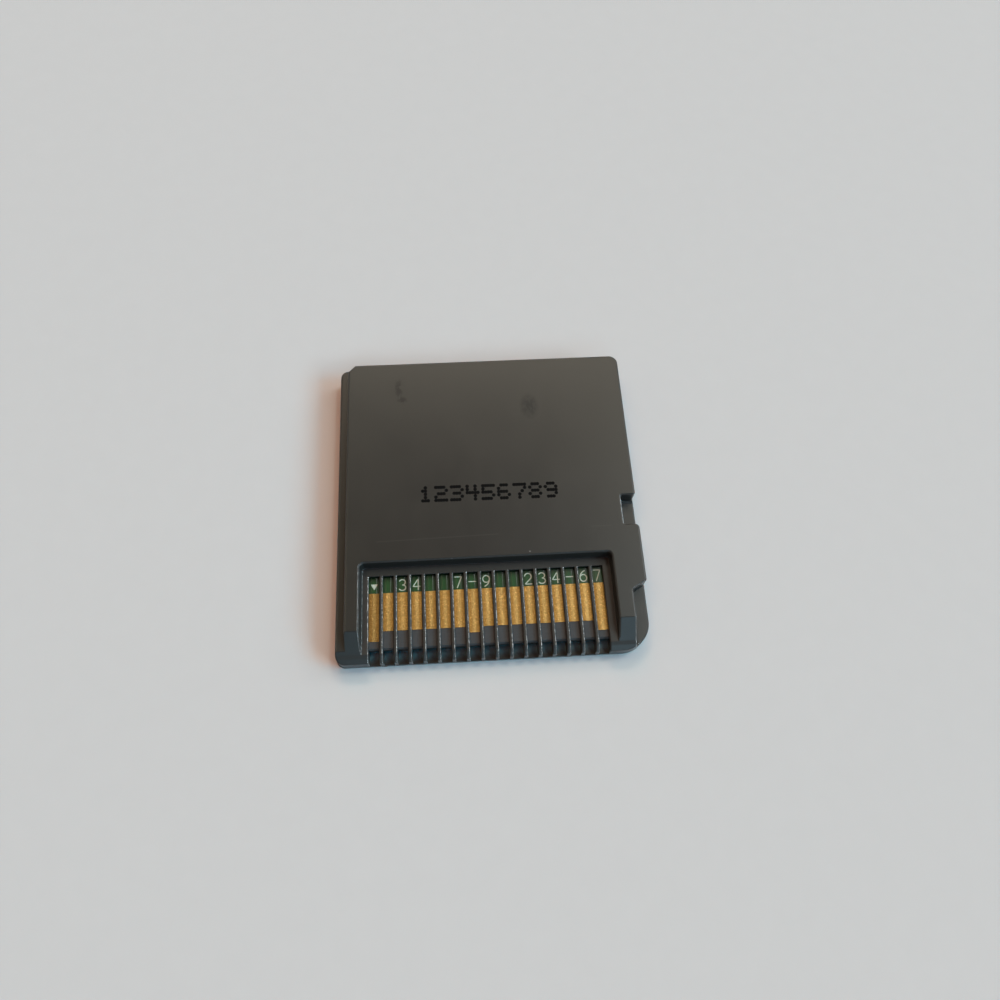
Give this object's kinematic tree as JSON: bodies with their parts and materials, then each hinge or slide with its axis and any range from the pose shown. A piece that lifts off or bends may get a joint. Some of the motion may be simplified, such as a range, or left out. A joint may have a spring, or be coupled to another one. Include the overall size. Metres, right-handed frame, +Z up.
{
  "type": "game cartridge",
  "caption": "Small flat game card for a hand-held console: two moulded shells round a board, gold contacts in a ribbed window, sloped lead-in, latch notch and keyed edge.",
  "frame": {"origin": "middle of the underside, on the rim round the label recess", "axes": "+Y runs from the contact edge to the opposite edge, +Z up out of the rear face, +X to the right edge with the latch notch"},
  "size_m": [0.033, 0.035, 0.0038],
  "materials": {
    "shell": "satin dark warm grey moulding",
    "board": "green solder mask on laminate",
    "gold": "gold plate, worn to satin",
    "chip": "matt black moulding",
    "tin": "tinned leads",
    "capacitor": "fired ceramic with metal ends",
    "resistor": "black glaze with metal ends"
  },
  "bodies": {
    "root": {"front_shell": "shell", "rear_shell": "shell", "circuit_board": "board", "contact_pad_01": "gold", "contact_pad_02": "gold", "contact_pad_03": "gold", "contact_pad_04": "gold", "contact_pad_05": "gold", "contact_pad_06": "gold", "contact_pad_07": "gold", "contact_pad_08": "gold", "contact_pad_09": "gold", "contact_pad_10": "gold", "contact_pad_11": "gold", "contact_pad_12": "gold", "contact_pad_13": "gold", "contact_pad_14": "gold", "contact_pad_15": "gold", "contact_pad_16": "gold", "contact_pad_17": "gold", "rom_chip": "chip", "rom_chip_leads": "tin", "save_chip": "chip", "save_chip_leads": "tin", "capacitor_1": "capacitor", "capacitor_2": "capacitor", "capacitor_3": "capacitor", "capacitor_4": "capacitor", "resistor_1": "resistor", "resistor_2": "resistor"}
  },
  "joints": []
}
